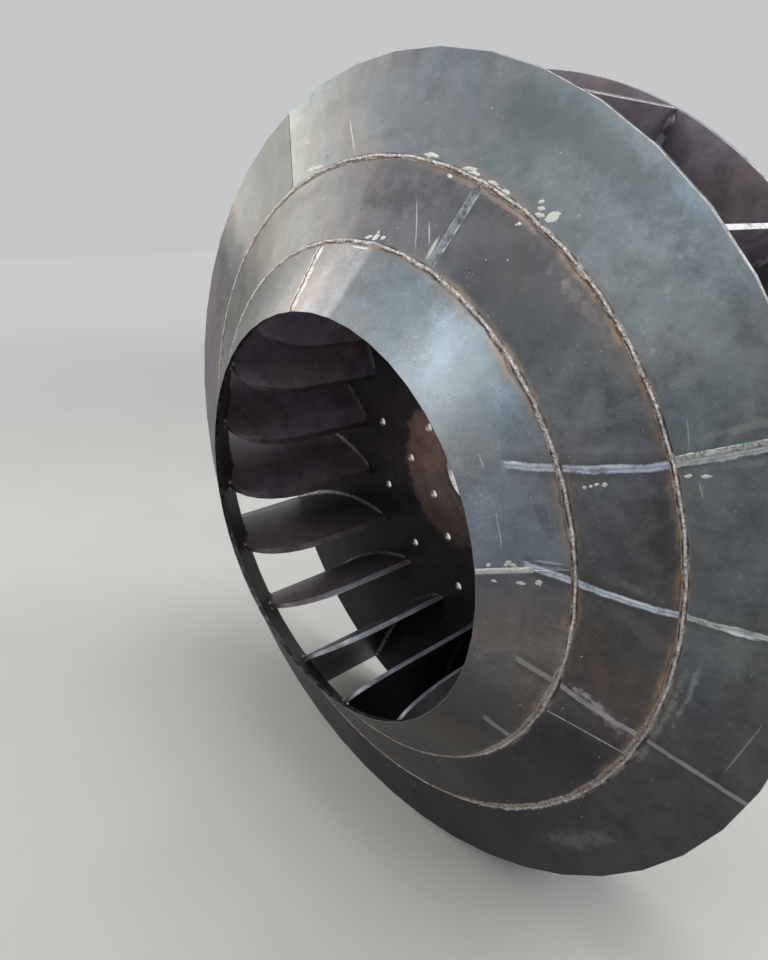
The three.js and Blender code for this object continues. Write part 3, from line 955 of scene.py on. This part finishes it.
def makeConePlate(cone, index, quarter):
    rows = shroud["rows"]
    radius = (outerRing[index][0] + outerRing[index + 1][0]) / 2
    gap = math.degrees(shroud["jointGap"] / radius) / 2
    start = plateLooks[cone]["firstJoint"] + quarter * 90
    angles = columnAngles(start + gap, start + 90 - gap, radius, shroud["bends"][index])
    sections = []
    for number, angle in enumerate(angles):
        isEnd = number in (0, len(angles) - 1)
        section = []
        for step, (r, a) in enumerate(coneSection(index, shroud["chamfer"] if isEnd else 0.0)):
            across = (min(step, 2 * rows + 5 - step) - 1) / rows
            belly = max(0.0, 1 - (2 * across - 1) ** 2)
            dent = unevenness(r * 6, math.radians(angle) * 4, 3.1 + index) * shroud["wave"] * belly
            section.append(wheelPoint(r * flatFactor(angle), angle, a - abs(dent)))
        sections.append(section)
    # the free edges were ground, and their cut faces stayed darker
    lanes = [{0: 1, 2 * rows + 4: 1, 2 * rows + 5: 2}, {}, {rows + 1: 1, rows + 3: 1, rows + 2: 2}][index]
    vertices, faces, marks = sweep(sections, lanes=lanes)
    name = f"{cone}_plate_{quarter + 1}"
    piece = finishPiece(name + "_steel", vertices, faces, [plateMaterials[cone], groundSteel, cutFaceSteel],
                        "shroud_steel", marks, sharp=30, replaces=[name])
    piece.modifiers.new("flats", "WEIGHTED_NORMAL").keep_sharp = True


print("shroud plates")
for index, cone in enumerate(shroud["cones"]):
    for quarter in range(shroud["quarters"]):
        makeConePlate(cone, index, quarter)


# Seam beads: a cap run on the rim side of each seam, and a low ragged root run beside it.
# Beads are in millimetres. Each run has its middle, half width, height, unevenness and the share
# of its length that was filled.

seamBead = {
    "runs": [(1.6, 3.2, 2.5, 0.50, 1.0), (-3.0, 2.6, 1.3, 1.0, 0.70)],
    "pitch": 3.2, "ripple": 0.30, "wander": 1.7, "halfWidth": 6.2, "stepsPerRipple": 4,
    "points": 15, "sunk": 0.6, "root": 1.8,
    # the lowest stretch got a lighter bead, and the one after it a wide torn one
    "thinFrom": 150, "thinTo": {"inner_seam_bead": 228, "outer_seam_bead": 212}, "wideTo": 264,
}


def between(angle, start, end, ramp):
    return max(0.0, min(1.0, (angle - start) / ramp, (end - angle) / ramp))


def beadHeight(across, along, plan, salt, torn):
    height = 0.0
    for number, (middle, half, tall, uneven, share) in enumerate(plan["runs"]):
        drift = unevenness(along * 30, salt, number) * plan["wander"] * mm
        reach = half * mm * (1 + 0.5 * unevenness(along * 60, salt + 40, number))
        aside = (across - middle * mm - drift) / reach
        present = 0.5 + unevenness(along * 16, salt + 2, number * 7.0) < share + 0.35
        if abs(aside) >= 1 or not present:
            continue
        swell = 1 + uneven * torn * unevenness(along * 75, salt + 4, number * 3)
        phase = 2 * math.pi * along / (plan["pitch"] * mm) + aside * aside * 2.4 + number * 2
        phase += 2.5 * unevenness(along * 25, salt + 9, number)
        crumb = 0.7 * mm * torn * unevenness(along * 210, across * 330, salt + 31)
        lump = tall * mm * swell + plan["ripple"] * mm * math.cos(phase) + crumb
        height = max(height, lump * (1 - aside * aside) ** 0.7)
    pit = unevenness(along * 150, across * 320, salt + 20)
    limit = 0.50 - 0.16 * torn
    if pit > limit and plan.get("pits", True):
        height -= min(1.6 * mm * (pit - limit) / 0.25, height * 0.8)
    return height


def beadSlice(plan, along, salt, size, torn=1.0):
    # how far across and how high each point of a slice is; its two edges sink into the plate
    last = plan["points"] - 1
    for point in range(last + 1):
        across = plan["halfWidth"] * mm * (2 * point / last - 1)
        if point in (0, last):
            yield across, -plan["sunk"] * mm
        else:
            yield across, beadHeight(across, along, plan, salt, torn) * size


def softFactor(angle):
    # the flats with their bends drawn round, as a welder's hand follows them
    return sum(flatFactor(angle + flatAngle / 6 * step) for step in range(-2, 3)) / 5


def makeSeamBead(name, corner, material, node, salt):
    radius, height = outerRing[corner]
    count = int(2 * math.pi * radius / (seamBead["pitch"] * mm)) * seamBead["stepsPerRipple"]
    thinTo = seamBead["thinTo"][name]
    root = seamBead["root"] * mm
    rootReach = seamBead["halfWidth"] * 0.8 * mm
    sections = []
    for step in range(count):
        angle = 360 * step / count
        wide = between(angle, thinTo, seamBead["wideTo"], 6)
        full = 1 - 0.42 * between(angle, seamBead["thinFrom"], thinTo, 10) + 0.6 * wide
        _, normalIn, slopeIn = shroudPlace(radius - 10 * mm, angle)
        _, normalOut, slopeOut = shroudPlace(radius + 10 * mm, angle)
        seam = wheelPoint(radius * softFactor(angle), angle, height)
        up = (normalIn + normalOut).normalized()
        heights = beadSlice(seamBead, math.radians(angle) * radius, salt, full, 1 + wide)
        section = [seam + (slopeIn if across < 0 else slopeOut) * across * full + up * rise
                   for across, rise in heights]
        roots = [seam + way * rootReach * full - up * root for way in (slopeOut, -slopeIn)]
        sections.append(section + roots)
    vertices, faces, _ = sweep(sections, closed=True)
    finishPiece(name, vertices, faces, [material], replaces=[node])


print("seam beads")
makeSeamBead("inner_seam_bead", 1, weldMetals["innerSeamMetal"], "inner_seam_weld", 2.0)
makeSeamBead("outer_seam_bead", 2, weldMetals["outerSeamMetal"], "outer_seam_weld", 7.0)


# Joint welds between the quarter plates, from the first to the last joint of each cone

jointShape = {"points": 9, "sunk": 0.25, "root": 1.2, "step": 1.2, "edgeInset": 1.5, "seamInset": 5.0,
              "taper": 30.0}
jointStyles = {
    "rough": {
        "runs": [(-5.0, 4.4, 2.7, 0.6, 1.0), (4.6, 4.0, 2.3, 0.8, 0.9)], "halfWidth": 10.5, "pitch": 3.6,
        "ripple": 0.30, "wander": 1.6, "metals": ["brightWeldMetal", "rustyRootMetal"], "lanes": (3, 4)},
    "capped": {
        "runs": [(0.0, 4.8, 1.5, 0.15, 1.0)], "halfWidth": 4.8, "pitch": 6.0, "ripple": 0.06,
        "wander": 0.5, "metals": ["creamWeldMetal"], "cover": 0.62, "pits": False},
    "ground": {
        "runs": [(0.0, 9.4, 0.5, 0.1, 1.0)], "halfWidth": 8.6, "pitch": 6.0, "ripple": 0.02,
        "wander": 0.2, "metals": ["greyStrip", "brightStrip"], "lanes": (0, 7), "cover": 0.97,
        "pits": False},
    "ragged": {
        "runs": [(0.0, 3.6, 0.9, 0.9, 0.9), (3.2, 2.2, 0.7, 0.9, 0.7)], "halfWidth": 5.4, "pitch": 3.8,
        "ripple": 0.30, "wander": 2.2, "metals": ["greyWeldMetal"]},
    "thin": {
        "runs": [(0.0, 1.3, 0.6, 0.9, 0.5)], "halfWidth": 1.4, "pitch": 4.0, "ripple": 0.1,
        "wander": 0.4, "metals": ["greyWeldMetal"]},
    "gap": {
        "runs": [(0.0, 1.1, 0.25, 0.3, 1.0)], "halfWidth": 1.2, "pitch": 5.0, "ripple": 0.02,
        "wander": 0.3, "metals": ["sootyGapMetal"], "pits": False},
}
jointPlan = {
    "inlet_cone": ["rough", "rough", "thin", "capped"],
    "middle_cone": ["ground", "thin", "thin", "ground"],
    "rim_cone": ["gap", "ragged", "gap", "ragged"],
}


def makeJointWeld(cone, index, number, styleName):
    style = {**jointShape, **jointStyles[styleName]}
    angle = plateLooks[cone]["firstJoint"] + 90 * number
    start, end = outerRing[index][0], outerRing[index + 1][0]
    low = start + style["seamInset" if index > 0 else "edgeInset"] * mm
    high = end - style["seamInset" if index < 2 else "edgeInset"] * mm
    high = low + (high - low) * style.get("cover", 1.0)
    length = slopeStretch(low) * (high - low)
    steps = int(length / (style["step"] * mm))
    sections = []
    for step in range(steps + 1):
        share = step / steps
        radius = low + (high - low) * share
        taper = min(1.0, 0.25 + 4 * min(share, 1 - share) * length / (style["taper"] * mm))
        heights = beadSlice(style, length * share, number * 5 + index * 17.0, taper)
        section = [shroudPlace(radius, angle + math.degrees(across / radius), rise)[0]
                   for across, rise in heights]
        sections.append(section + [shroudPlace(radius, angle, -style["root"] * mm)[0]])
    vertices, faces, marks = sweep(sections, lanes={lane: 1 for lane in style.get("lanes", ())})
    metals = [weldMetals[metal] for metal in style["metals"]]
    finishPiece(f"{cone}_joint_weld_{number + 1}", vertices, faces, metals, marks=marks)


print("joint welds")
for index, cone in enumerate(shroud["cones"]):
    for number, styleName in enumerate(jointPlan[cone]):
        makeJointWeld(cone, index, number, styleName)


# Slag flakes and spatter left beside the welds

slag = {
    "flakes": [  # ring, angle, length, width, turn of the long way from straight out to anticlockwise
        (0.652, 352.3, 35, 7, -87), (0.651, 345.1, 35, 6, -75), (0.646, 344.8, 21, 5, -76),
        (0.649, 343.7, 20, 6, -84), (0.632, 347.5, 11, 5, -87), (0.648, 340.4, 24, 5, -75),
        (0.645, 339.6, 20, 5, -72), (0.648, 337.9, 19, 7, -78), (0.666, 332.6, 10, 6, -40),
        (0.659, 332.1, 13, 5, -59), (0.652, 331.7, 17, 6, -64), (0.661, 330.2, 26, 13, -37),
        (0.626, 333.3, 12, 5, -41), (0.658, 20.9, 28, 9, -96), (0.653, 18.8, 32, 7, -96),
        (0.518, 358.9, 19, 6, -73), (0.519, 357.0, 17, 8, -54), (0.527, 356.8, 7, 6, -36),
        (0.521, 355.1, 13, 5, -62), (0.412, 283.9, 8, 6, -40), (0.434, 284.1, 13, 7, 34),
        (0.440, 283.7, 15, 6, -30), (0.417, 280.4, 9, 4, -21), (0.448, 280.0, 16, 5, -12),
        (0.468, 280.1, 10, 9, 0), (0.666, 297.3, 16, 5, 0), (0.704, 297.0, 13, 6, 0),
        (0.679, 294.6, 15, 5, -9), (0.657, 294.9, 11, 4, 0), (0.534, 295.7, 6, 5, 0),
        (0.542, 295.7, 5, 4, 0), (0.550, 295.8, 7, 4, 0), (0.559, 295.6, 7, 6, 0)],
    "height": 0.5 * mm,
    "bottom": -0.5 * mm,
    "sides": 14,
    "drops": 260,
    "dropSides": 6,
    "dropSize": (0.5 * mm, 1.4 * mm),
    "dropClear": 7 * mm,
    "dropSpread": 18 * mm,
}


def domeOnShroud(ring, angle, length, width, turn, height, sides, salt):
    # a low closed dome with a torn outline, lying on the plate
    stretch = slopeStretch(ring)
    cosine, sine = math.cos(math.radians(turn)), math.sin(math.radians(turn))
    layers = []
    for share, lift in ((1.0, slag["bottom"]), (1.0, 0.15 * height), (0.72, 0.8 * height)):
        layer = []
        for side in range(sides):
            around = 2 * math.pi * side / sides
            reach = share * (1 + 0.55 * unevenness(math.cos(around) * 2, math.sin(around) * 2, salt))
            x = length / 2 * math.cos(around) * reach
            y = width / 2 * math.sin(around) * reach * (1.1 - 0.5 * math.cos(around) ** 2)
            out, left = x * cosine - y * sine, x * sine + y * cosine
            layer.append(shroudPlace(ring + out / stretch, angle + math.degrees(left / ring), lift)[0])
        layers.append(layer)
    return stackRings(layers, *[shroudPlace(ring, angle, lift)[0] for lift in (slag["bottom"], height)])


def makeSlag():
    height, sides = slag["height"], slag["sides"]
    flakes = [domeOnShroud(ring, angle, length * mm, width * mm, turn, height, sides, number * 3.7)
              for number, (ring, angle, length, width, turn) in enumerate(slag["flakes"])]
    finishPiece("slag_flakes", *joinParts(flakes), [weldMetals["slagMetal"]], sharp=50)
    drops = []
    for number in range(slag["drops"]):
        seam = random.choice((innerSeam, outerSeam))
        away = random.choice((-1, 1)) * (slag["dropClear"] + abs(random.gauss(0, slag["dropSpread"])))
        size = random.uniform(*slag["dropSize"]) * 2
        angle = random.uniform(0, 360)
        drops.append(domeOnShroud(seam + away, angle, size, size, 0, size * 0.4, slag["dropSides"],
                                  number * 1.3))
    finishPiece("spatter_drops", *joinParts(drops), [weldMetals["greyWeldMetal"]], sharp=70)


print("slag and spatter")
makeSlag()


# Blades: flat at the rim and rolled to one radius towards the inlet

blade = {
    "half": 5.0 * mm,
    "foot": (0.388, 0.0),
    "shoulder": (0.390, 0.230),
    "pull": (0.396, 0.376),
    "tipRadius": 0.453,
    "rimGap": 0.5 * mm,
    "columns": 30,
    "rows": 12,
    "gap": 0.3 * mm,
    "bevel": 0.8 * mm,
}


def leadingPoint(share, tip):
    if share < 0.5:
        return lerp(blade["foot"], blade["shoulder"], share * 2)
    t = share * 2 - 1
    return lerp(lerp(blade["shoulder"], blade["pull"], t), lerp(blade["pull"], tip, t), t)


def bladePatch(bladeAngle, u, v):
    # radius and height on the blade: u runs from inlet edge to rim, v from back plate to shroud
    def roof(radius):
        return radius, roofHeight(radius, bladeAngle + bladeTurn(radius))

    end = rimRadius * flatFactor(bladeAngle) - blade["rimGap"]
    foot, rimFoot, tip = blade["foot"], (end, 0.0), roof(blade["tipRadius"])
    rimEdge = lerp(rimFoot, roof(end), v)
    top = roof(blade["tipRadius"] + (end - blade["tipRadius"]) * u)
    across = lerp(leadingPoint(v, tip), rimEdge, u)
    upright = lerp(lerp(foot, rimFoot, u), top, v)
    flat = lerp(lerp(foot, tip, v), rimEdge, u)
    radius, height = [a + b - c for a, b, c in zip(across, upright, flat)]
    return radius, max(height, blade["gap"])


def makeBlade(number, bladeAngle):
    columns, rows = blade["columns"], blade["rows"]
    places = [bladePatch(bladeAngle, i / columns, j / rows)
              for i in range(columns + 1) for j in range(rows + 1)]
    vertices = [bladePoint(bladeAngle, *place, side)[0] for side in (blade["half"], -blade["half"])
                for place in places]

    def at(side, i, j):
        return side * len(places) + i * (rows + 1) + j

    faces = []
    for i in range(columns):
        for j in range(rows):
            faces += [(at(side, i, j), at(side, i + 1, j), at(side, i + 1, j + 1), at(side, i, j + 1))
                      for side in (0, 1)]
        faces += [(at(0, i, j), at(0, i + 1, j), at(1, i + 1, j), at(1, i, j)) for j in (0, rows)]
    marks = [0] * len(faces)
    for j in range(rows):
        for i, material in ((0, 1), (columns, 2)):
            faces.append((at(0, i, j), at(0, i, j + 1), at(1, i, j + 1), at(1, i, j)))
            marks.append(material)
    name = f"blade_{number + 1:02d}"
    piece = finishPiece(name + "_plate", vertices, faces, [bladeSteel, leadingEdgeSteel, groundSteel],
                        "blade_steel", marks, sharp=40, replaces=[name])
    bevel = piece.modifiers.new("edge", "BEVEL")
    bevel.width = blade["bevel"]
    bevel.segments = 2
    bevel.limit_method = "ANGLE"
    bevel.angle_limit = math.radians(50)


print("blades")
for number, bladeAngle in enumerate(bladeAngles):
    makeBlade(number, bladeAngle)


# Back plate with its bore and bolt holes

backPlate = {
    "radius": rimRadius * math.cos(math.radians(flatAngle / 2)) - 0.1 * mm,
    "bore": 0.093,
    "hole": 0.011,
    "circles": [(0.170, 6, 11.8), (0.220, 6, 41.8), (0.330, 12, 26.8)],  # radius, count, first angle
    "rimSides": 320,
    "boreSides": 96,
    "holeSides": 28,
    "bevel": 0.8 * mm,
}


def ringPoints(radius, count, centre=(0.0, 0.0)):
    turns = [2 * math.pi * (i + 0.5) / count for i in range(count)]
    return [(centre[0] + radius * math.cos(t), centre[1] + radius * math.sin(t)) for t in turns]


def plateOutlines():
    outlines = [ringPoints(backPlate["radius"], backPlate["rimSides"]),
                ringPoints(backPlate["bore"], backPlate["boreSides"])]
    for radius, count, firstAngle in backPlate["circles"]:
        for number in range(count):
            centre = outward(firstAngle + 360 / count * number) * radius
            outlines.append(ringPoints(backPlate["hole"], backPlate["holeSides"], (centre.x, centre.z)))
    return outlines


def makeBackPlate():
    # a filled outline gives clean round holes with an even bevel
    curve = bpy.data.curves.new("plateOutline", "CURVE")
    curve.dimensions = "2D"
    curve.fill_mode = "BOTH"
    curve.extrude = (plateBack - plateFace) / 2 - backPlate["bevel"]
    curve.bevel_depth = backPlate["bevel"]
    curve.bevel_resolution = 1
    curve.offset = -backPlate["bevel"]
    for outline in plateOutlines():
        spline = curve.splines.new("POLY")
        spline.points.add(len(outline) - 1)
        for point, (x, y) in zip(spline.points, outline):
            point.co = (x, y, 0, 1)
        spline.use_cyclic_u = True
    pattern = bpy.data.objects.new("plateOutline", curve)
    scene.collection.objects.link(pattern)
    bpy.context.view_layer.update()
    mesh = bpy.data.meshes.new_from_object(pattern.evaluated_get(bpy.context.evaluated_depsgraph_get()))
    vertices = [(v.co.x, (plateFace + plateBack) / 2 - v.co.z, axisHeight + v.co.y) for v in mesh.vertices]
    faces = [tuple(p.vertices) for p in mesh.polygons]
    bpy.data.objects.remove(pattern)
    piece = finishPiece("back_plate_disc", vertices, faces, [backPlateSteel, groundSteel],
                        "back_plate_steel", sharp=30, replaces=["back_plate"])
    for polygon in piece.data.polygons:
        radius = math.hypot(polygon.center.x, polygon.center.z - axisHeight)
        inBore = radius < backPlate["bore"] + 0.4 * mm
        atRim = radius > backPlate["radius"] - 1.2 * mm and abs(polygon.normal.y) < 0.9
        if inBore or atRim:
            polygon.material_index = 1


print("back plate")
makeBackPlate()


# Fillet welds of the blades, on both faces, at the back plate and at the shroud

fillet = {
    "leg": 6.0 * mm, "growth": 0.45, "step": 3.0 * mm, "pitch": 4.2 * mm / 1.3, "ripple": 0.35 * mm,
    "start": 0.397, "end": 0.790, "root": 0.5 * mm,
    # across the weld: share from blade to plate, part of the ripple, how deep it is sunk
    "section": [(0, 0, 0), (0.25, 0.6, 0.2 * mm), (0.5, 1, 0.35 * mm), (0.75, 0.6, 0.2 * mm), (1, 0, 0)],
}


def filletSections(bladeAngle, side, atShroud, salt):
    start = blade["tipRadius"] + 4 * mm if atShroud else fillet["start"]
    length = fillet["end"] - start
    steps = int(length / fillet["step"])
    lift = Vector((0, 1 if atShroud else -1, 0))
    sections = []
    for step in range(steps + 1):
        radius = start + length * step / steps
        along = radius - start
        turned = bladeAngle + bladeTurn(radius)
        height = roofHeight(radius, turned) if atShroud else 0.0
        root, away = bladePoint(bladeAngle, radius, height, side)
        if atShroud:
            rise = roofHeight(radius + fillet["leg"] * away.dot(outward(turned)), turned) - height
            away = away - Vector((0, rise / fillet["leg"], 0))
        swell = 1 + 0.25 * unevenness(along * 40, salt, 1.0)
        taper = min(1.0, 0.3 + min(step, steps - step) / 4)
        leg = fillet["leg"] * swell * taper * (1 + fillet["growth"] * along / length)
        bulge = fillet["ripple"] * math.cos(2 * math.pi * along / fillet["pitch"] + salt)
        section = [root + (away * (1 - share) + lift * share) * leg + (away + lift) * (bulge * part - sunk)
                   for share, part, sunk in fillet["section"]]
        sections.append(section + [root - (away + lift) * fillet["root"]])
    return sections


def makeBladeFillets(number, bladeAngle):
    parts = []
    for side in (blade["half"], -blade["half"]):
        for atShroud in (False, True):
            salt = number * 11.0 + (5 if side > 0 else 0) + (2 if atShroud else 0)
            parts.append(sweep(filletSections(bladeAngle, side, atShroud, salt)))
    name = f"blade_{number + 1:02d}_fillet_welds"
    finishPiece(name, *joinParts(parts), [weldMetals["filletWeldMetal"]], sharp=70)


print("blade fillets")
for number, bladeAngle in enumerate(bladeAngles):
    makeBladeFillets(number, bladeAngle)


# Tack welds at the blade corners, where the fitter first held the blades to the shroud

tack = {"size": 4.2 * mm, "rings": 6, "sides": 10, "tipInset": 1 * mm, "rimInset": 6 * mm, "sunk": 1.5 * mm,
        "away": 1 * mm}


def tackBlob(middle, size, salt):
    rings = []
    for step in range(tack["rings"] - 1, 0, -1):
        tilt = math.pi * step / tack["rings"]
        ring = []
        for side in range(tack["sides"]):
            around = 2 * math.pi * side / tack["sides"]
            x, y, z = math.sin(tilt) * math.cos(around), math.sin(tilt) * math.sin(around), math.cos(tilt)
            lump = size * (1 + 0.35 * unevenness(x * 1.3 + salt, y * 1.3, z * 1.3))
            ring.append(middle + Vector((x, y, z)) * lump)
        rings.append(ring)
    return stackRings(rings, middle - Vector((0, 0, size)), middle + Vector((0, 0, size)))


def makeTacks():
    blobs = []
    for number, bladeAngle in enumerate(bladeAngles):
        for side in (blade["half"], -blade["half"]):
            for radius in (blade["tipRadius"] + tack["tipInset"], rimRadius - tack["rimInset"]):
                height = roofHeight(radius, bladeAngle + bladeTurn(radius)) - tack["sunk"]
                middle, away = bladePoint(bladeAngle, radius, height, side)
                size = tack["size"] * random.uniform(0.75, 1.1)
                blobs.append(tackBlob(middle + away * tack["away"], size, number * 2.3 + side * 900))
    finishPiece("blade_tack_welds", *joinParts(blobs), [weldMetals["brightWeldMetal"]], sharp=60)


print("tack welds")
makeTacks()

scene.view_settings.view_transform = "Standard"
